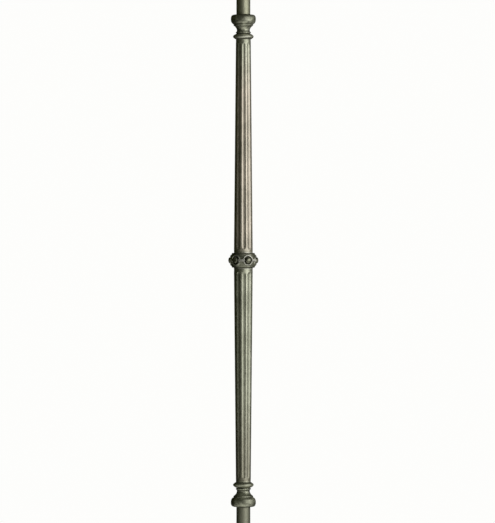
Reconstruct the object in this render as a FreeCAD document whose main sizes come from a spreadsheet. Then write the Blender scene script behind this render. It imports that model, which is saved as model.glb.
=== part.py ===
import FreeCAD, Part
import math
import os

import Sketcher

# Iron stair baluster: one casting, standing upright, with its origin at the foot of the lower bar.
# Both halves are alike, so the upper half is turned, fluted and then mirrored about the knuckle.

# Driving sizes, in millimetres and degrees
SIZES = {
    # The whole baluster and its plain bars
    "overall_length": 1118.0,
    "bar_diameter": 16.0,
    # The knuckle in the middle
    "knuckle_height": 17.0,
    "knuckle_edge_diameter": 26.8,
    "knuckle_edge_bevel": 1.0,
    "knuckle_ridge_diameter": 30.8,
    "knuckle_ridge_width": 1.2,
    # The tapered shaft, between its two plain necks
    "wide_neck_diameter": 21.5,
    "wide_neck_length": 4.4,
    "wide_land_diameter": 21.6,
    "fluted_length": 237.6,
    "narrow_land_diameter": 17.2,
    "narrow_neck_diameter": 17.0,
    "narrow_neck_length": 4.2,
    # The round-ended flutes, cut by one ball-nosed cutter that follows the taper
    "flute_count": 10,
    "cutter_radius": 5.5,
    "wide_flute_depth": 0.9,
    "narrow_flute_depth": 0.5,
    # The ring at the end of the shaft, and the small bead beside it
    "ring_diameter": 23.7,
    "ring_height": 6.8,
    "quirk_depth": 0.7,
    "small_bead_rise": 0.8,
    "small_bead_height": 2.1,
    # The hollow between the small bead and the bulb
    "hollow_pull": 1.1,
    "hollow_fall": 3.0,
    "hollow_climb": 2.8,
    "hollow_flare": 1.8,
    # The bead under the bulb, and the groove between them
    "bulb_bead_step": 0.5,
    "bulb_bead_slope": 1.1,
    "bulb_bead_height": 2.2,
    "bulb_quirk_depth": 0.4,
    "bulb_quirk_height": 0.5,
    # The bulb
    "bulb_swell": 3.6,
    "bulb_swell_start": 0.8,
    "bulb_swell_height": 6.1,
    "bulb_shoulder_width": 4.0,
    "bulb_shoulder_height": 5.0,
    # The buttons round the knuckle, each in its own rimmed socket
    "button_count": 6,
    "button_turn": 48.0,
    "button_radius": 3.3,
    "button_dome_height": 1.2,
    "button_rise": 2.7,
    "socket_gap": 1.4,
    "socket_depth": 1.7,
    "rim_width": 1.4,
    "rim_slope_height": 1.2,
    "rim_rise": 1.4,
}

NODE = "baluster"
FULL_TURN = 360.0

# A sketch numbers its own axes, and the points of a curve, like this
UPRIGHT_AXIS, LEVEL_AXIS = range(-2, 0)
START, END, CENTRE = range(1, 4)


class Measure:
    """A length together with the formula that gives it from the sheet."""

    def __init__(self, value, formula):
        self.value = value
        self.formula = formula

    def join(self, other, sign, value):
        return Measure(value, "(" + self.formula + sign + other.formula + ")")

    def __add__(self, other):
        other = as_measure(other)
        return self.join(other, " + ", self.value + other.value)

    def __sub__(self, other):
        other = as_measure(other)
        return self.join(other, " - ", self.value - other.value)

    def __mul__(self, other):
        other = as_measure(other)
        return self.join(other, " * ", self.value * other.value)

    def __truediv__(self, other):
        other = as_measure(other)
        return self.join(other, " / ", self.value / other.value)


def as_measure(number):
    if isinstance(number, Measure):
        return number
    return Measure(float(number), str(number))


def size(alias):
    return Measure(float(SIZES[alias]), "Sizes." + alias)


def half(alias):
    return size(alias) / 2


def root(measure):
    return Measure(math.sqrt(measure.value), "sqrt(" + measure.formula + ")")


# Document, sheet and body
doc = FreeCAD.newDocument("Baluster")
sheet = doc.addObject("Spreadsheet::Sheet", "Sizes")
for line, (alias, number) in enumerate(SIZES.items(), start=1):
    sheet.set("A%d" % line, alias)
    sheet.set("B%d" % line, str(number))
    sheet.setAlias("B%d" % line, alias)
doc.recompute()

body = doc.addObject("PartDesign::Body", "Baluster")
body.Label = NODE


def origin_feature(role):
    for feature in body.Origin.OriginFeatures:
        if feature.Role == role:
            return feature
    raise ValueError("no origin feature " + role)


def new_sketch(name, turn=None):
    """Sketch in an upright plane: its x is the distance from the axis, its y the height."""
    sketch = body.newObject("Sketcher::SketchObject", name)
    sketch.AttachmentSupport = (origin_feature("XZ_Plane"), [""])
    sketch.MapMode = "FlatFace"
    if turn is not None:
        upright = FreeCAD.Vector(0, 1, 0)
        sketch.AttachmentOffset = FreeCAD.Placement(
            FreeCAD.Vector(0, 0, 0), FreeCAD.Rotation(upright, turn.value))
        sketch.setExpression("AttachmentOffset.Rotation.Angle", turn.formula)
    return sketch


def bind(sketch, constraint, formula):
    number = sketch.addConstraint(constraint)
    sketch.setExpression("Constraints[%d]" % number, formula)


def hold_across(sketch, curve, point, across):
    """Hold a curve's point at its distance from the upright axis, or on that axis."""
    if across is None:
        sketch.addConstraint(Sketcher.Constraint("PointOnObject", curve, point, UPRIGHT_AXIS))
    else:
        distance = Sketcher.Constraint("DistanceX", LEVEL_AXIS, START, curve, point, across.value)
        bind(sketch, distance, across.formula)


def hold_up(sketch, curve, point, up):
    """Hold a curve's point at its height, or on the level axis."""
    if up is None:
        sketch.addConstraint(Sketcher.Constraint("PointOnObject", curve, point, LEVEL_AXIS))
    else:
        distance = Sketcher.Constraint("DistanceY", LEVEL_AXIS, START, curve, point, up.value)
        bind(sketch, distance, up.formula)


def flat_point(place):
    across, up = place
    return FreeCAD.Vector(across.value if across else 0.0, up.value if up else 0.0, 0.0)


class Outline:
    """A closed outline in an upright plane: distances from the axis, and heights; None is zero."""

    def __init__(self, across, up):
        self.corners = [(across, up)]
        self.pulls = {}

    def line(self, across, up):
        self.corners.append((across, up))

    def curve(self, across, up, pull):
        """A smooth curve that sets out towards the pull and arrives coming from it."""
        self.pulls[len(self.corners) - 1] = pull
        self.corners.append((across, up))

    def draw_run(self, sketch, number):
        """Draw the line or curve from one corner to the next; a curve's pull is held by the sheet."""
        first = flat_point(self.corners[number])
        last = flat_point(self.corners[(number + 1) % len(self.corners)])
        if number not in self.pulls:
            return sketch.addGeometry(Part.LineSegment(first, last), False)
        across, up = self.pulls[number]
        pull = flat_point(self.pulls[number])
        smooth = Part.BSplineCurve()
        smooth.buildFromPoles([first, pull, last], False, 2)
        curve = sketch.addGeometry(smooth, False)
        handle = sketch.addGeometry(Part.Circle(pull, FreeCAD.Vector(0, 0, 1), 1.0), True)
        sketch.addConstraint(Sketcher.Constraint("Weight", handle, 1.0))
        sketch.addConstraint(Sketcher.Constraint(
            "InternalAlignment:Sketcher::BSplineControlPoint", handle, CENTRE, curve, 1))
        hold_across(sketch, handle, CENTRE, across)
        hold_up(sketch, handle, CENTRE, up)
        return curve

    def draw(self, sketch):
        """Draw the whole outline and hold every corner by the sheet."""
        runs = [self.draw_run(sketch, number) for number in range(len(self.corners))]
        for number, curve in enumerate(runs):
            sketch.addConstraint(Sketcher.Constraint("Coincident", runs[number - 1], END, curve, START))
            hold_across(sketch, curve, START, self.corners[number][0])
            hold_up(sketch, curve, START, self.corners[number][1])


def turn_about(kind, name, sketch, axis):
    """Turn a sketch all the way round an axis of its own."""
    feature = body.newObject(kind, name)
    feature.Profile = sketch
    feature.ReferenceAxis = (sketch, [axis])
    feature.Angle = FULL_TURN
    return feature


def repeat_round(name, features, count):
    """Repeat features evenly round the baluster's own axis."""
    pattern = body.newObject("PartDesign::PolarPattern", name)
    pattern.Originals = features
    pattern.Axis = (origin_feature("Z_Axis"), [""])
    pattern.Angle = FULL_TURN
    pattern.Occurrences = int(count.value)
    pattern.setExpression("Occurrences", count.formula)
    body.Tip = pattern
    return pattern


# Heights of the upper half, from the middle of the knuckle up
knuckle_top = half("knuckle_height")
flutes_start = knuckle_top + size("wide_neck_length")
flutes_end = flutes_start + size("fluted_length")
ring_start = flutes_end + size("narrow_neck_length")
ring_end = ring_start + size("ring_height")
bead_end = ring_end + size("small_bead_height")
waist = bead_end + size("hollow_fall")
hollow_end = waist + size("hollow_climb")
bulb_bead_end = hollow_end + size("bulb_bead_height")
bulb_start = bulb_bead_end + size("bulb_quirk_height")
bulb_widest = bulb_start + size("bulb_swell_height")
bulb_top = bulb_widest + size("bulb_shoulder_height")
bar_end = half("overall_length")

# Distances from the axis
ridge = half("knuckle_ridge_diameter")
edge = half("knuckle_edge_diameter")
edge_bevel = size("knuckle_edge_bevel")
neck = half("narrow_neck_diameter")
quirk = neck - size("quirk_depth")
flare = quirk + size("hollow_flare")
bulb_bead_foot = flare + size("bulb_bead_step")
bulb_bead = bulb_bead_foot + size("bulb_bead_slope")
bulb_quirk = bulb_bead - size("bulb_quirk_depth")
bulb = bulb_quirk + size("bulb_swell")
bar = half("bar_diameter")

# The pull of each curve; the ring's curve reaches half way out to its pull
ring_pull = (size("ring_diameter") - (neck + quirk) / 2, ring_start + half("ring_height"))
hollow_pull = (quirk - size("hollow_pull"), waist)
swell_pull = (bulb, bulb_start + size("bulb_swell_start"))
shoulder_pull = (bulb, bulb_top)

# The turned upper half: one outline out from the axis, up to the bar's end and back down the axis
turned = Outline(None, None)
turned.line(ridge, None)
turned.line(ridge, half("knuckle_ridge_width"))
turned.line(edge, knuckle_top - edge_bevel)
turned.line(edge - edge_bevel, knuckle_top)
turned.line(half("wide_neck_diameter"), knuckle_top)
turned.line(half("wide_land_diameter"), flutes_start)
turned.line(half("narrow_land_diameter"), flutes_end)
turned.line(neck, ring_start)
turned.curve(quirk, ring_end, ring_pull)
turned.line(quirk + size("small_bead_rise"), ring_end + half("small_bead_height"))
turned.line(quirk, bead_end)
turned.curve(flare, hollow_end, hollow_pull)
turned.line(bulb_bead_foot, hollow_end)
turned.line(bulb_bead, bulb_bead_end)
turned.line(bulb_quirk, bulb_start)
turned.curve(bulb, bulb_widest, swell_pull)
turned.curve(bulb - size("bulb_shoulder_width"), bulb_top, shoulder_pull)
turned.line(bar, bulb_top)
turned.line(bar, bar_end)
turned.line(None, bar_end)

turned_sketch = new_sketch("TurnedOutline")
turned.draw(turned_sketch)
turned_half = turn_about("PartDesign::Revolution", "TurnedHalf", turned_sketch, "V_Axis")

# One flute: the ball-nosed cutter is sunk into the shaft to the flute's depth at each end
cutter = size("cutter_radius")
wide_depth = size("wide_flute_depth")
narrow_depth = size("narrow_flute_depth")
wide_reach = root(cutter * wide_depth * 2 - wide_depth * wide_depth)
narrow_reach = root(cutter * narrow_depth * 2 - narrow_depth * narrow_depth)
wide_ball = (half("wide_land_diameter") + cutter - wide_depth, flutes_start + wide_reach)
narrow_ball = (half("narrow_land_diameter") + cutter - narrow_depth, flutes_end - narrow_reach)


def draw_cutter(sketch, first_ball, last_ball, radius):
    """The outer half of the cutter's path, beside its own axis: a ball nose, a side and a ball nose."""
    lower = flat_point(first_ball)
    upper = flat_point(last_ball)
    along = (upper - lower).normalize() * radius.value
    outward = FreeCAD.Vector(along.y, -along.x, 0)
    side_angle = math.atan2(outward.y, outward.x)
    quarter = math.pi / 2
    facing = FreeCAD.Vector(0, 0, 1)
    lower_circle = Part.Circle(lower, facing, radius.value)
    upper_circle = Part.Circle(upper, facing, radius.value)

    axis = sketch.addGeometry(Part.LineSegment(lower, upper), True)
    side = sketch.addGeometry(Part.LineSegment(lower + outward, upper + outward), False)
    lower_nose = sketch.addGeometry(Part.ArcOfCircle(lower_circle, side_angle - quarter, side_angle), False)
    upper_nose = sketch.addGeometry(Part.ArcOfCircle(upper_circle, side_angle, side_angle + quarter), False)
    spine = sketch.addGeometry(Part.LineSegment(lower - along, upper + along), False)

    hold_across(sketch, axis, START, first_ball[0])
    hold_up(sketch, axis, START, first_ball[1])
    hold_across(sketch, axis, END, last_ball[0])
    hold_up(sketch, axis, END, last_ball[1])
    bind(sketch, Sketcher.Constraint("Radius", lower_nose, radius.value), radius.formula)
    sketch.addConstraint(Sketcher.Constraint("Equal", lower_nose, upper_nose))
    sketch.addConstraint(Sketcher.Constraint("Coincident", lower_nose, CENTRE, axis, START))
    sketch.addConstraint(Sketcher.Constraint("Coincident", upper_nose, CENTRE, axis, END))
    sketch.addConstraint(Sketcher.Constraint("Tangent", side, START, lower_nose, END))
    sketch.addConstraint(Sketcher.Constraint("Tangent", side, END, upper_nose, START))
    sketch.addConstraint(Sketcher.Constraint("PointOnObject", lower_nose, START, axis))
    sketch.addConstraint(Sketcher.Constraint("PointOnObject", upper_nose, END, axis))
    sketch.addConstraint(Sketcher.Constraint("Coincident", spine, START, lower_nose, START))
    sketch.addConstraint(Sketcher.Constraint("Coincident", spine, END, upper_nose, END))


cutter_sketch = new_sketch("FluteCutter")
draw_cutter(cutter_sketch, wide_ball, narrow_ball, cutter)
flute = turn_about("PartDesign::Groove", "Flute", cutter_sketch, "Axis0")
flutes = repeat_round("Flutes", [flute], size("flute_count"))

# The lower half mirrors the upper one, which has to be there first
doc.recompute()
both_halves = body.newObject("PartDesign::Mirrored", "BothHalves")
both_halves.TransformMode = "Whole shape"
both_halves.MirrorPlane = (origin_feature("XY_Plane"), [""])
body.Tip = both_halves

# The buttons round the knuckle, each about a level axis of its own: a raised rim, a socket sunk
# through the rim with sloping sides, and a domed button standing in the socket
button_turn = size("button_turn")
core = half("wide_neck_diameter")
button = size("button_radius")
socket = button + size("socket_gap")
rim_reach = edge + size("rim_rise")
socket_floor = rim_reach - size("socket_depth")
button_reach = rim_reach + size("button_rise")
clear_reach = ridge + size("button_rise")

rim_outline = Outline(core, None)
rim_outline.line(core, socket + size("rim_width"))
rim_outline.line(rim_reach - size("rim_slope_height"), socket + size("rim_width"))
rim_outline.line(rim_reach, socket)
rim_outline.line(rim_reach, None)
rim_sketch = new_sketch("RimOutline", button_turn)
rim_outline.draw(rim_sketch)
rim_feature = turn_about("PartDesign::Revolution", "Rim", rim_sketch, "H_Axis")

socket_outline = Outline(socket_floor, None)
socket_outline.line(socket_floor, button)
socket_outline.line(rim_reach, socket)
socket_outline.line(clear_reach, socket)
socket_outline.line(clear_reach, None)
socket_sketch = new_sketch("SocketOutline", button_turn)
socket_outline.draw(socket_sketch)
socket_feature = turn_about("PartDesign::Groove", "Socket", socket_sketch, "H_Axis")

button_outline = Outline(core, None)
button_outline.line(core, button)
button_outline.line(button_reach - size("button_dome_height"), button)
button_outline.curve(button_reach, None, (button_reach, button / 2))
button_sketch = new_sketch("ButtonOutline", button_turn)
button_outline.draw(button_sketch)
button_feature = turn_about("PartDesign::Revolution", "Button", button_sketch, "H_Axis")

buttons = repeat_round("Buttons", [rim_feature, socket_feature, button_feature], size("button_count"))

# The foot of the lower bar is the origin
body.setExpression("Placement.Base.z", bar_end.formula)
doc.recompute()

# Every object is sound, and every step adds or takes away metal
for thing in doc.Objects:
    if "Invalid" in thing.State or "Error" in thing.State:
        raise RuntimeError(thing.Name + " failed: " + str(thing.State))
steps = [turned_half, flute, flutes, both_halves, rim_feature, socket_feature, button_feature, buttons]
adds = [True, False, False, True, True, False, True, True]
metal = 0.0
for step, adding in zip(steps, adds):
    if step.Shape.isNull() or not step.Shape.isValid():
        raise RuntimeError(step.Name + " has no sound shape")
    if (step.Shape.Volume > metal) != adding:
        raise RuntimeError(step.Name + " changed the volume the wrong way")
    metal = step.Shape.Volume
if body.Shape.isNull() or not body.Shape.isValid() or len(body.Shape.Solids) != 1:
    raise RuntimeError("the baluster is not one sound solid")

os.makedirs("parts", exist_ok=True)
body.Shape.exportStep("parts/" + body.Label + ".step")
print(body.Label, round(metal), "cubic millimetres", len(body.Shape.Faces), "faces")
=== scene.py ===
import math

import bpy
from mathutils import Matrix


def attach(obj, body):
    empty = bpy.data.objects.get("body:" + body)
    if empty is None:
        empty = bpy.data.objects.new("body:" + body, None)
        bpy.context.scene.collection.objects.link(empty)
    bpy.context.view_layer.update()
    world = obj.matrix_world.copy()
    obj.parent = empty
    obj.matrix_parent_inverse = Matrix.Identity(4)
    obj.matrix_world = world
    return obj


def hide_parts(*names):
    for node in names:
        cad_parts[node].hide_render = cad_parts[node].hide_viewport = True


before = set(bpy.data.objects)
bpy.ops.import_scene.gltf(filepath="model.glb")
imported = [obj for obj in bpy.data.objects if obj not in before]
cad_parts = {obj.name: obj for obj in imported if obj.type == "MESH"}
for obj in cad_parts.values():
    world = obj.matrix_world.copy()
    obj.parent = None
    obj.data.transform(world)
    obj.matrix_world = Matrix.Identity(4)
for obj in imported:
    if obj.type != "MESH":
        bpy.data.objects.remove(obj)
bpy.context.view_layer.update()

# Iron stair baluster, dressed as one smooth casting over the turned and fluted solid. Lengths are
# in millimetres, drawn at a thousandth because the frame is in metres, and turns are in degrees.
# Radii are measured from the upright axis, and heights from the middle of the knuckle.
MM = 0.001
HALF_LENGTH = 559.0
BAR_RADIUS = 8.0
BAR_ROUNDING = 0.8
BAR_SHOULDER = 0.25
TURNING_SIDES = 100
SMOOTH_TURN = 30

# The fluted shaft: the radius and height where its lands start and end, and its ball-nosed cutter
WIDE_LAND = (10.8, 12.9)
NARROW_LAND = (8.6, 250.5)
FLUTES = 10
WIDE_DEPTH = 0.9
NARROW_DEPTH = 0.5
CUTTER_RADIUS = 5.5
CUTTER_TIP = 0.02
CUTTER_SIDES = 48

# The arrises between lands and flutes: how they are found, and how they are merged and rounded
END_GAP = 0.02
NOSE_REACH = 5.0
NOSE_SLACK = 0.05
NOSE_MERGE = 0.3
SHAFT_MERGE = 0.05
ARRIS_SHARPNESS = 16
ARRIS_SLACK = 0.12
ARRIS_WIDTH = 0.14

# The knuckle: its buttons stand evenly round it, the first one a little to the right of the front,
# each in a socket with a round rim, and all its detail sits a little above the middle
KNUCKLE_SIDES = 192
DETAIL_SIDES = 64
BUTTONS = 6
FIRST_BUTTON = 18.0
RIM_RADIUS = 5.45
RIM_THICKNESS = 0.95
RIM_SIDES = 24
RIM_OUT = 13.95
SKIN_SIZE = 0.28
KNUCKLE_LIFT = 0.5

# The photo looks from this many degrees round the upright axis, against the clock from above
VIEW_TURN = -4.0


def deselect_all():
    bpy.ops.object.select_all(action="DESELECT")


def pick(*things):
    """Selects only these objects; the last one is the active one."""
    deselect_all()
    for thing in things:
        thing.select_set(True)
    bpy.context.view_layer.objects.active = things[-1]


def edit_mode():
    bpy.ops.object.mode_set(mode="EDIT")


def object_mode():
    bpy.ops.object.mode_set(mode="OBJECT")


def apply_modifiers(piece):
    pick(piece)
    for modifier in list(piece.modifiers):
        bpy.ops.object.modifier_apply(modifier=modifier.name)


def bow(start, pull, end, steps):
    """Stations along a smooth curve that leaves start towards the pull and comes to end from it."""
    stations = []
    for step in range(steps + 1):
        part = step / steps
        stations.append(tuple((1 - part) ** 2 * a + 2 * part * (1 - part) * b + part ** 2 * c
                              for a, b, c in zip(start, pull, end)))
    return stations


def turn_profile(name, stations, sides):
    """Turns a closed piece about the upright axis, one ring for each (radius, height)."""
    radius, height = stations[0]
    deselect_all()
    bpy.ops.mesh.primitive_circle_add(vertices=sides, radius=radius * MM, fill_type="NGON",
                                      location=(0, 0, height * MM))
    piece = bpy.context.object
    piece.name = name
    bpy.ops.object.transform_apply(location=True)
    edit_mode()
    bpy.ops.mesh.select_all(action="SELECT")
    for next_radius, next_height in stations[1:]:
        lift = (0, 0, (next_height - height) * MM)
        bpy.ops.mesh.extrude_region_move(TRANSFORM_OT_translate={"value": lift})
        grow = next_radius / radius
        bpy.ops.transform.resize(value=(grow, grow, 1), center_override=(0, 0, next_height * MM))
        radius, height = next_radius, next_height
    bpy.ops.mesh.select_all(action="SELECT")
    bpy.ops.mesh.normals_make_consistent(inside=False)
    object_mode()
    return piece


def place(piece, turn=(0, 0, 0), move=(0, 0, 0)):
    """Turns a piece by degrees about each axis, moves it, and keeps both in its mesh."""
    piece.rotation_euler = [math.radians(angle) for angle in turn]
    piece.location = [length * MM for length in move]
    pick(piece)
    bpy.ops.object.transform_apply(location=True, rotation=True, scale=True)


def copies_round(piece, count, first_turn=0.0):
    """Copies a piece evenly round the upright axis and joins the copies into one."""
    copies = []
    for number in range(count):
        pick(piece)
        bpy.ops.object.duplicate()
        copy = bpy.context.object
        place(copy, turn=(0, 0, first_turn + number * 360 / count))
        copies.append(copy)
    bpy.data.objects.remove(piece)
    pick(*copies)
    bpy.ops.object.join()
    return bpy.context.object


def combine(piece, tool, operation):
    """Adds a tool's shape to a piece, or cuts it away."""
    modifier = piece.modifiers.new("combine", "BOOLEAN")
    modifier.object = tool
    modifier.operation = operation
    modifier.solver = "EXACT"
    apply_modifiers(piece)
    bpy.data.objects.remove(tool)


def turned_half_profile():
    """The turned upper half, from inside the knuckle to the end of the bar."""
    # The fillet over the knuckle, the lands and the plain neck
    stations = [(9.5, 1.0), (10.9, 1.5), (10.95, 8.5), (10.8, 8.9), (10.75, 9.6), (10.76, 12.0)]
    stations += [WIDE_LAND, NARROW_LAND, (8.56, 251.4), (8.5, 254.5)]
    # The ring, and the small bead over it
    stations += bow((8.55, 254.8), (15.55, 258.1), (7.8, 261.4), 18)
    stations += bow((7.72, 261.7), (8.7, 261.65), (8.7, 262.55), 5)
    stations += bow((8.7, 262.65), (8.7, 263.45), (7.75, 263.45), 5)
    # The hollow and its lip
    stations += bow((7.72, 263.7), (6.75, 266.6), (9.5, 269.3), 16)
    stations += [(9.65, 269.6)]
    stations += bow((9.9, 269.8), (11.0, 270.2), (11.35, 271.2), 6)
    stations += bow((11.42, 271.4), (11.5, 271.95), (11.2, 272.05), 4)
    stations += [(11.15, 272.2)]
    # The bulb
    stations += bow((11.35, 272.35), (14.4, 273.2), (14.4, 278.2), 18)
    stations += bow((14.4, 278.4), (14.4, 283.2), (10.2, 283.2), 18)
    # The joint at the bar, and the bar with its softened end
    stations += [(8.5, 283.2), (8.08, 282.9), (8.0, 283.3), (BAR_RADIUS, 284.5)]
    stations += [(BAR_RADIUS, HALF_LENGTH - BAR_ROUNDING),
                 (BAR_RADIUS - BAR_SHOULDER, HALF_LENGTH - BAR_SHOULDER),
                 (BAR_RADIUS - BAR_ROUNDING, HALF_LENGTH)]
    return stations


def cutter_reach(depth):
    """How far the cutter's nose reaches along a land when it is sunk to this depth."""
    return math.sqrt(2 * CUTTER_RADIUS * depth - depth ** 2)


def flute_cutters():
    """Ball-nosed cutters round the shaft, each leaning with its taper."""
    low = (WIDE_LAND[0] + CUTTER_RADIUS - WIDE_DEPTH, WIDE_LAND[1] + cutter_reach(WIDE_DEPTH))
    high = (NARROW_LAND[0] + CUTTER_RADIUS - NARROW_DEPTH,
            NARROW_LAND[1] - cutter_reach(NARROW_DEPTH))
    length = math.dist(low, high)
    nose = [(max(CUTTER_RADIUS * math.sin(math.radians(angle)), CUTTER_TIP),
             CUTTER_RADIUS * math.cos(math.radians(angle))) for angle in range(0, 91, 10)]
    stations = [(radius, -height) for radius, height in nose]
    stations += [(radius, length + height) for radius, height in reversed(nose)]
    cutter = turn_profile("flute_cutter", stations, CUTTER_SIDES)
    lean = math.degrees(math.atan2(low[0] - high[0], high[1] - low[1]))
    place(cutter, turn=(-lean, 0, 0), move=(0, -low[0], low[1]))
    return copies_round(cutter, FLUTES)


def land_radius(height):
    """The shaft's radius at its lands, which narrow evenly."""
    along = (height - WIDE_LAND[1]) / (NARROW_LAND[1] - WIDE_LAND[1])
    return WIDE_LAND[0] + along * (NARROW_LAND[0] - WIDE_LAND[0])


def flat_place(point):
    """A point's radius and height, in millimetres."""
    return math.hypot(point.x, point.y) / MM, point.z / MM


def on_an_arris(point):
    """Whether a point is on the lands' own surface, clear of their two ends."""
    radius, height = flat_place(point)
    return (WIDE_LAND[1] + END_GAP < height < NARROW_LAND[1] - END_GAP
            and abs(radius - land_radius(height)) < ARRIS_SLACK)


def round_arrises(piece):
    """Softens the sharp edges between the lands and the flutes, round the flutes' noses too."""
    pick(piece)
    edit_mode()
    bpy.ops.mesh.select_mode(type="VERT")
    bpy.ops.mesh.select_all(action="DESELECT")
    object_mode()
    for vertex in piece.data.vertices:
        radius, height = flat_place(vertex.co)
        from_end = min(height - WIDE_LAND[1], NARROW_LAND[1] - height)
        vertex.select = (END_GAP < from_end < NOSE_REACH
                         and radius < land_radius(height) + NOSE_SLACK)
    edit_mode()
    bpy.ops.mesh.remove_doubles(threshold=NOSE_MERGE * MM)
    bpy.ops.mesh.select_all(action="SELECT")
    bpy.ops.mesh.remove_doubles(threshold=SHAFT_MERGE * MM)
    bpy.ops.mesh.select_mode(type="EDGE")
    bpy.ops.mesh.select_all(action="DESELECT")
    bpy.ops.mesh.edges_select_sharp(sharpness=math.radians(ARRIS_SHARPNESS))
    object_mode()
    vertices = piece.data.vertices
    for edge in piece.data.edges:
        if edge.select:
            edge.select = all(on_an_arris(vertices[number].co) for number in edge.vertices)
    edit_mode()
    bpy.ops.mesh.bevel(offset=ARRIS_WIDTH * MM, segments=2, affect="EDGES", clamp_overlap=False)
    object_mode()


def make_upper_half():
    half = turn_profile("upper_half", turned_half_profile(), TURNING_SIDES)
    combine(half, flute_cutters(), "DIFFERENCE")
    round_arrises(half)
    return half


def make_rim():
    deselect_all()
    bpy.ops.mesh.primitive_torus_add(major_radius=RIM_RADIUS * MM, minor_radius=RIM_THICKNESS * MM,
                                     major_segments=DETAIL_SIDES, minor_segments=RIM_SIDES,
                                     location=(0, 0, RIM_OUT * MM))
    rim = bpy.context.object
    bpy.ops.object.transform_apply(location=True)
    return rim


def make_knuckle():
    """A ridged collar with sockets sunk into it, a round rim on each and a domed button inside."""
    collar = [(9.0, -8.5), (12.3, -8.5), (13.0, -8.2), (13.4, -7.5), (14.6, -2.0), (14.9, -1.7),
              (15.6, -1.45), (16.15, -1.1), (16.3, -0.5)]
    collar += [(radius, -height) for radius, height in reversed(collar)]
    knuckle = turn_profile("knuckle", collar, KNUCKLE_SIDES)

    # These three are turned upright, as radius from the button's own axis and distance out from the
    # shaft's, and then laid down and set round the collar
    socket = turn_profile("socket", [(3.9, 12.9), (4.3, 13.1), (4.5, 13.8), (4.5, 18.5)],
                          DETAIL_SIDES)
    stations = [(3.3, 9.0), (3.3, 15.9)] + bow((3.3, 16.2), (3.2, 16.6), (2.7, 16.8), 4)
    stations += bow((2.5, 16.85), (1.6, 17.38), (0.1, 17.4), 6)
    button = turn_profile("button", stations, DETAIL_SIDES)
    rim = make_rim()
    for tool, operation in ((socket, "DIFFERENCE"), (rim, "UNION"), (button, "UNION")):
        place(tool, turn=(90, 0, 0))
        combine(knuckle, copies_round(tool, BUTTONS, FIRST_BUTTON), operation)

    skin = knuckle.modifiers.new("cast_skin", "REMESH")
    skin.mode = "VOXEL"
    skin.voxel_size = SKIN_SIZE * MM
    soft = knuckle.modifiers.new("cast_soft", "SMOOTH")
    soft.factor = 0.5
    soft.iterations = 4
    apply_modifiers(knuckle)
    place(knuckle, move=(0, 0, KNUCKLE_LIFT))
    return knuckle


def make_casting():
    """Joins the upper half, the same turned over, and the knuckle, and stands them on the foot."""
    half = make_upper_half()
    knuckle = make_knuckle()
    pick(half)
    bpy.ops.object.duplicate()
    lower_half = bpy.context.object
    edit_mode()
    bpy.ops.mesh.select_all(action="SELECT")
    bpy.ops.transform.resize(value=(1, 1, -1), center_override=(0, 0, 0))
    bpy.ops.mesh.normals_make_consistent(inside=False)
    object_mode()
    pick(lower_half, half, knuckle)
    bpy.ops.object.join()
    casting = bpy.context.object
    casting.name = "cast_baluster"
    place(casting, move=(0, 0, HALF_LENGTH))
    bpy.ops.object.shade_smooth_by_angle(angle=math.radians(SMOOTH_TURN))
    return casting


class Nodes:
    """Adds nodes to one tree, and feeds them with plain values or with other nodes' outputs."""

    def __init__(self, tree):
        self.tree = tree

    def add(self, kind):
        return self.tree.nodes.new(kind)

    def feed(self, socket, value):
        if isinstance(value, bpy.types.NodeSocket):
            self.tree.links.new(value, socket)
        else:
            socket.default_value = value

    def math(self, operation, *values):
        node = self.add("ShaderNodeMath")
        node.operation = operation
        for socket, value in zip(node.inputs, values):
            self.feed(socket, value)
        return node.outputs[0]

    def times(self, first, second):
        return self.math("MULTIPLY", first, second)

    def most(self, first, *others):
        """The highest of some values."""
        for other in others:
            first = self.math("MAXIMUM", first, other)
        return first

    def rays(self):
        """Two switches: one for what the camera sees, one for what is seen in a shiny surface."""
        ray = self.add("ShaderNodeLightPath").outputs
        return ray["Is Camera Ray"], self.most(ray["Is Glossy Ray"], ray["Is Transmission Ray"])


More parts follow.
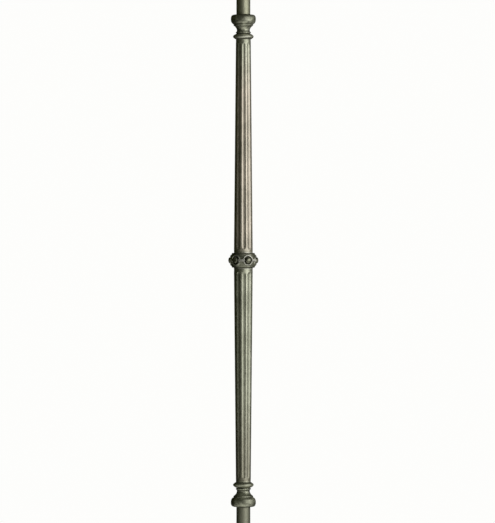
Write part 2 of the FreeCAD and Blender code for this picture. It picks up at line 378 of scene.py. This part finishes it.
class Finish(Nodes):
    """A material that is built up from nodes reading its object's own coordinates."""

    def __init__(self, name):
        self.material = bpy.data.materials.new(name)
        self.material.use_nodes = True
        super().__init__(self.material.node_tree)
        self.inputs = self.tree.nodes["Principled BSDF"].inputs
        self.place = self.add("ShaderNodeTexCoord").outputs["Object"]

    def shade(self, **values):
        """Sets the shader's inputs, which are named with underscores for spaces."""
        for name, value in values.items():
            self.feed(self.inputs[name.replace("_", " ")], value)

    def fade(self, value, start, end, low=0.0, high=1.0):
        """Goes smoothly from low to high as the value goes from start to end."""
        node = self.add("ShaderNodeMapRange")
        node.interpolation_type = "SMOOTHSTEP"
        for socket, number in zip(node.inputs, (value, start, end, low, high)):
            self.feed(socket, number)
        return node.outputs[0]

    def near(self, value, centre, start, end, high=1.0):
        """Goes smoothly up to high as the value comes from start to end away from the centre."""
        off = self.math("ABSOLUTE", self.math("SUBTRACT", value, centre))
        return self.fade(off, start, end, 0.0, high)

    def reach(self, first, second):
        """The hypotenuse of two lengths."""
        return self.math("SQRT", self.math("ADD", self.times(first, first),
                                           self.times(second, second)))

    def from_nearest(self, turn, count, first=0.0):
        """The turn from the nearest of some marks, evenly round from the first one."""
        step = 360 / count
        wrapped = self.math("FLOORED_MODULO", self.math("ADD", turn, step / 2 - first), step)
        return self.math("SUBTRACT", wrapped, step / 2)

    def noise(self, scale, detail, roughness, stretch=(1, 1, 1)):
        spread = self.add("ShaderNodeMapping")
        spread.inputs["Scale"].default_value = stretch
        self.feed(spread.inputs["Vector"], self.place)
        node = self.add("ShaderNodeTexNoise")
        node.inputs["Scale"].default_value = scale
        node.inputs["Detail"].default_value = detail
        node.inputs["Roughness"].default_value = roughness
        self.feed(node.inputs["Vector"], spread.outputs[0])
        return node.outputs["Fac"]

    def blend(self, amount, first, second):
        node = self.add("ShaderNodeMix")
        node.data_type = "RGBA"
        self.feed(node.inputs["Factor"], amount)
        self.feed(node.inputs["A"], first)
        self.feed(node.inputs["B"], second)
        return node.outputs["Result"]

    def bump(self, height, distance, strength, below=None):
        node = self.add("ShaderNodeBump")
        node.inputs["Distance"].default_value = distance * MM
        self.feed(node.inputs["Strength"], strength)
        self.feed(node.inputs["Height"], height)
        if below is not None:
            self.feed(node.inputs["Normal"], below)
        return node.outputs["Normal"]


# Colours of the iron's finish; a pair runs from its darker to its paler mottling
WARM_IRON = (0.44, 0.40, 0.32, 1), (0.67, 0.595, 0.485, 1)
COOL_IRON = (0.37, 0.38, 0.285, 1), (0.56, 0.57, 0.44, 1)
UPPER_BAR = (0.36, 0.36, 0.25, 1), (0.46, 0.46, 0.34, 1)
LOWER_BAR = (0.30, 0.30, 0.225, 1)
# A painted highlight for the upper ring
RING_HIGHLIGHT = (0.78, 0.77, 0.66, 1)
# Painted shade for the lower shaft, darker towards its foot
FOOT_SHADE_IRON = (0.27, 0.24, 0.18, 1)
# Rubbed metal, and a painted highlight on the knuckle's crests and fillets
RUBBED_AND_HIGHLIGHT_IRON = (0.97, 0.95, 0.87, 1)
DARK_BUTTON = (0.22, 0.22, 0.15, 1)
# Painted shade for the flutes, the sockets and the corners between mouldings
RECESS_SHADE = (0.035, 0.033, 0.022, 1)
SMUDGE = (0.09, 0.09, 0.06, 1)

# Where the finish changes: heights that a patch fades in over, and lines that it keeps to
SHAFT_FOOT = (12.0, 13.0)
SHAFT_HEAD = (251.0, 250.0)
KNUCKLE_TOP = (12.0, 8.0)
BAR_FOOT = (283.0, 283.6)
ARRIS_TURN = 12.8
RIM_LINE = 5.6
FILLET_LINE = 9.2
UPPER_RING_LINE = 257.8

# Corners between one moulding and the next: height, how far the painted shade spreads, how strong
# it is
CORNERS = ((7.9, 1.1, 1.0), (255.4, 1.1, 1.0), (261.6, 1.0, 1.0), (264.1, 1.0, 0.9),
           (269.6, 0.7, 0.5), (272.1, 0.8, 0.45), (283.2, 0.9, 1.0))
CORNER_HEART = 0.1


def iron_finish():
    """Mottled iron, warmer above the knuckle, with painted shade in its recesses and towards its
    foot, and pale where it is rubbed or carries a painted highlight.
    """
    iron = Finish("patinated_iron")

    # What the finish reads off the casting, in millimetres and degrees
    split = iron.add("ShaderNodeSeparateXYZ")
    iron.feed(split.inputs[0], iron.place)
    side, depth, level = (iron.times(axis, 1 / MM) for axis in split.outputs)
    lift = iron.math("SUBTRACT", level, HALF_LENGTH)
    height = iron.math("ABSOLUTE", lift)
    radius = iron.reach(side, depth)
    bearing = iron.times(iron.math("ARCTAN2", side, iron.times(depth, -1.0)), math.degrees(1))

    # In the flutes, below the level of the lands, where a little painted shade darkens them
    taper = (NARROW_LAND[0] - WIDE_LAND[0]) / (NARROW_LAND[1] - WIDE_LAND[1])
    land = iron.math("MULTIPLY_ADD", height, taper, land_radius(0.0))
    on_shaft = iron.times(iron.fade(height, *SHAFT_FOOT), iron.fade(height, *SHAFT_HEAD))
    sunk = iron.math("SUBTRACT", land, radius)
    in_flute = iron.times(iron.fade(sunk, 0.1, 0.8), on_shaft)

    # Along the arrises of the flutes, where the finish is rubbed through
    off_flute = iron.math("ABSOLUTE", iron.from_nearest(bearing, FLUTES))
    on_arris = iron.times(iron.near(off_flute, ARRIS_TURN, 2.2, 0.2), on_shaft)

    # In the sockets, between the rim and the button, where painted shade darkens them
    knuckle_lift = iron.math("SUBTRACT", lift, KNUCKLE_LIFT)
    off_button = iron.math("RADIANS", iron.from_nearest(bearing, BUTTONS, FIRST_BUTTON))
    across = iron.times(radius, iron.math("SINE", off_button))
    from_button = iron.reach(across, knuckle_lift)
    in_socket = iron.times(iron.fade(from_button, 2.9, 3.4), iron.fade(from_button, 5.0, 4.4))
    in_socket = iron.times(in_socket, iron.fade(radius, 16.4, 15.4))

    # On the crest of the knuckle's ridge and the rims, where hands polish the metal and a painted
    # highlight is laid over it; on the buttons; and on the fillets by the knuckle, a painted
    # highlight for light from below
    on_ridge = iron.times(iron.near(lift, KNUCKLE_LIFT, 1.8, 1.3), iron.times(
        iron.fade(radius, 14.6, 14.9), iron.fade(from_button, 4.0, 4.5)))
    on_rim = iron.times(iron.near(from_button, RIM_LINE, 0.9, 0.4), iron.fade(radius, 14.0, 14.6))
    crest_wear_and_highlight = iron.most(on_ridge, iron.times(on_rim, 0.6))
    on_button = iron.times(iron.fade(from_button, 3.4, 3.1), iron.fade(radius, 15.6, 16.2))
    on_fillet = iron.times(iron.near(height, FILLET_LINE, 0.8, 0.3), iron.fade(radius, 10.2, 10.6))

    # Painted shade in the quirks and corners between one moulding and the next, gathered with that
    # in the flutes and sockets
    in_corner = iron.most(*[iron.near(height, corner, spread, CORNER_HEART, strength)
                            for corner, spread, strength in CORNERS])
    in_corner = iron.times(in_corner, iron.fade(radius, 14.0, 13.3))
    recess_shade = iron.most(iron.times(in_flute, 0.2), iron.times(in_socket, 0.8),
                      iron.times(in_corner, 0.9))

    # The mottling, and the smudges on the knuckle and the mouldings
    on_bar = iron.fade(height, *BAR_FOOT)
    clouds = iron.noise(scale=60.0, detail=4.0, roughness=0.6)
    specks = iron.noise(scale=420.0, detail=3.0, roughness=0.65)
    smudges = iron.noise(scale=170.0, detail=2.0, roughness=0.5)
    streaks = iron.noise(scale=160.0, detail=3.0, roughness=0.6, stretch=(1, 1, 0.06))
    mottle = iron.math("ADD", iron.times(clouds, 0.6), iron.times(specks, 0.4))
    mottled = iron.fade(mottle, 0.36, 0.64)
    on_moulding = iron.math("SUBTRACT", iron.fade(height, 262.0, 265.0), on_bar)
    smudged = iron.times(iron.fade(smudges, 0.62, 0.42),
                         iron.most(on_moulding, iron.fade(height, *KNUCKLE_TOP)))

    # The iron's colour: warm above the knuckle, with a painted highlight on the upper ring and
    # painted shade on the lower shaft towards its foot
    is_warm = iron.times(iron.fade(lift, 4.0, 16.0), iron.fade(lift, 250.0, 190.0))
    colour = iron.blend(is_warm, iron.blend(mottled, *COOL_IRON), iron.blend(mottled, *WARM_IRON))
    ring_highlight = iron.near(lift, UPPER_RING_LINE, 2.8, 1.8, 0.4)
    colour = iron.blend(ring_highlight, colour, RING_HIGHLIGHT)
    # Painted shade: the lower shaft grows darker towards its foot, where less light falls
    foot_shade = iron.times(iron.fade(lift, -130.0, -250.0, 0.0, 0.6), iron.fade(height, 255.0, 253.0))
    colour = iron.blend(foot_shade, colour, FOOT_SHADE_IRON)
    bar_colour = iron.blend(iron.fade(streaks, 0.3, 0.7), *UPPER_BAR)
    bar_colour = iron.blend(iron.fade(lift, 0.0, -1.0), bar_colour, LOWER_BAR)
    colour = iron.blend(on_bar, colour, bar_colour)

    # Rubbed metal along the arrises, a painted highlight on the knuckle's crests and fillets,
    # darker buttons, painted shade in the recesses, and smudges
    rubbed_and_highlighted = iron.most(iron.times(on_arris, iron.fade(streaks, 0.35, 0.6, 0.0, 0.25)),
                       iron.times(crest_wear_and_highlight, 0.95), iron.times(on_fillet, 0.5))
    colour = iron.blend(rubbed_and_highlighted, colour, RUBBED_AND_HIGHLIGHT_IRON)
    colour = iron.blend(iron.times(on_button, 0.7), colour, DARK_BUTTON)
    # Painted shade darkens the flutes, sockets and corners
    colour = iron.blend(iron.times(recess_shade, iron.fade(mottle, 0.25, 0.6, 0.75, 1.0)), colour, RECESS_SHADE)
    colour = iron.blend(iron.times(smudged, 0.55), colour, SMUDGE)

    roughness = iron.math("ADD", iron.fade(specks, 0.3, 0.7, 0.38, 0.52),
                          iron.times(iron.most(recess_shade, iron.times(on_bar, 0.3)), 0.2))
    roughness = iron.math("MULTIPLY_ADD", on_button, -0.2, roughness)
    roughness = iron.math("MULTIPLY_ADD", crest_wear_and_highlight, -0.05, roughness)

    # The skin of the casting: a fine grain, over a surface that is least even on the mouldings
    grain = iron.bump(iron.noise(scale=1500.0, detail=4.0, roughness=0.6), distance=0.12,
                      strength=iron.math("MULTIPLY_ADD", on_bar, -0.25, 0.4))
    waves = iron.noise(scale=190.0, detail=2.0, roughness=0.5)
    uneven = iron.most(iron.fade(height, 260.0, 264.0, 0.1, 0.8),
                       iron.fade(height, *KNUCKLE_TOP, 0.1, 0.6))
    uneven = iron.math("MINIMUM", uneven, iron.fade(height, 283.0, 284.0, 0.8, 0.1))
    iron.shade(Base_Color=colour, Roughness=roughness,
               Metallic=iron.math("MULTIPLY_ADD", crest_wear_and_highlight, -0.5, 0.75),
               Normal=iron.bump(waves, distance=0.6, strength=uneven, below=grain))
    return iron.material


casting = make_casting()
casting.data.materials.clear()
casting.data.materials.append(iron_finish())
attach(casting, "root")
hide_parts("baluster")

# The stage, in metres. The camera sees an even, pale floor. The iron mirrors a brighter patch of it
# in front of the foot, like a pale surface that the light falls on.
FLOOR_SIZE = 8.0
FLOOR_COLOUR = (0.4, 0.4, 0.39, 1)
FLOOR_ROUGHNESS = 0.9
FLOOR_LIGHT = (1.0, 1.0, 0.97, 1)
FLOOR_SEEN = 0.76
GLOW_PLACE = (-0.1, -0.65, 0.0)
GLOW_EDGE = (1.0, 0.35)


def floor_finish():
    pale = Finish("pale_floor")
    from_glow = pale.add("ShaderNodeVectorMath")
    from_glow.operation = "DISTANCE"
    from_glow.inputs[1].default_value = GLOW_PLACE
    pale.feed(from_glow.inputs[0], pale.place)
    seen, mirrored = pale.rays()
    glow = pale.times(mirrored, pale.fade(from_glow.outputs["Value"], *GLOW_EDGE))
    pale.shade(Base_Color=FLOOR_COLOUR, Roughness=FLOOR_ROUGHNESS, Emission_Color=FLOOR_LIGHT,
               Emission_Strength=pale.most(pale.times(seen, FLOOR_SEEN), glow))
    return pale.material


deselect_all()
bpy.ops.mesh.primitive_plane_add(size=FLOOR_SIZE, location=(0, 0, 0))
floor = bpy.context.object
floor.name = "floor"
floor.data.materials.append(floor_finish())

# The camera sees, and the iron mirrors, a pale backdrop behind the baluster. The rest is dim.
ROOM_COLOUR = (0.017, 0.021, 0.003, 1)
BACKDROP_COLOUR = (0.985, 0.985, 0.97, 1)
BACKDROP_EDGE = (0.96, 1.0)

world = bpy.data.worlds.new("studio")
bpy.context.scene.world = world
world.use_nodes = True
studio = Nodes(world.node_tree)
room = studio.tree.nodes["Background"]
room.inputs["Color"].default_value = ROOM_COLOUR
backdrop = studio.add("ShaderNodeBackground")
backdrop.inputs["Color"].default_value = BACKDROP_COLOUR
heading = studio.add("ShaderNodeSeparateXYZ")
studio.feed(heading.inputs[0], studio.add("ShaderNodeTexCoord").outputs["Generated"])
behind = studio.add("ShaderNodeMapRange")
behind.inputs["From Min"].default_value, behind.inputs["From Max"].default_value = BACKDROP_EDGE
studio.feed(behind.inputs["Value"], heading.outputs["Y"])
seen, mirrored = studio.rays()
choose = studio.add("ShaderNodeMixShader")
studio.feed(choose.inputs["Fac"], studio.most(seen, studio.times(mirrored, behind.outputs[0])))
studio.feed(choose.inputs[1], room.outputs[0])
studio.feed(choose.inputs[2], backdrop.outputs[0])
studio.feed(studio.tree.nodes["World Output"].inputs["Surface"], choose.outputs[0])

# One large lamp at the front right, and the camera, which stands a little to one side of the axis
KEY_POWER = 22.8
KEY_WIDTH = 2.1
KEY_TALL = 1.45
KEY_TURN = 50
KEY_REACH = 1.7
KEY_HEIGHT = 0.92
CAMERA_REACH = 5.017
CAMERA_HEIGHT = 0.5581
CAMERA_ASIDE = 0.0048
CAMERA_LENS = 300
CAMERA_SENSOR = 36


def bearing_place(turn, reach, height):
    """A place in metres at this turn to the right of the way the photo looks."""
    angle = math.radians(VIEW_TURN + turn)
    return (reach * math.sin(angle), -reach * math.cos(angle), height)


def facing_axis(turn):
    """The rotation that looks level at the axis from such a place."""
    return (math.radians(90), 0, math.radians(VIEW_TURN + turn))


bpy.ops.object.light_add(type="AREA", location=bearing_place(KEY_TURN, KEY_REACH, KEY_HEIGHT),
                         rotation=facing_axis(KEY_TURN))
key = bpy.context.object
key.name = "key"
key.data.shape = "RECTANGLE"
key.data.energy = KEY_POWER
key.data.size = KEY_WIDTH
key.data.size_y = KEY_TALL

bpy.ops.object.camera_add(location=bearing_place(0, CAMERA_REACH, CAMERA_HEIGHT),
                          rotation=facing_axis(0))
camera = bpy.context.object
camera.location.x += CAMERA_ASIDE * math.cos(math.radians(VIEW_TURN))
camera.location.y += CAMERA_ASIDE * math.sin(math.radians(VIEW_TURN))
camera.data.lens = CAMERA_LENS
camera.data.sensor_width = CAMERA_SENSOR
bpy.context.scene.camera = camera
bpy.context.scene.view_settings.view_transform = "Standard"
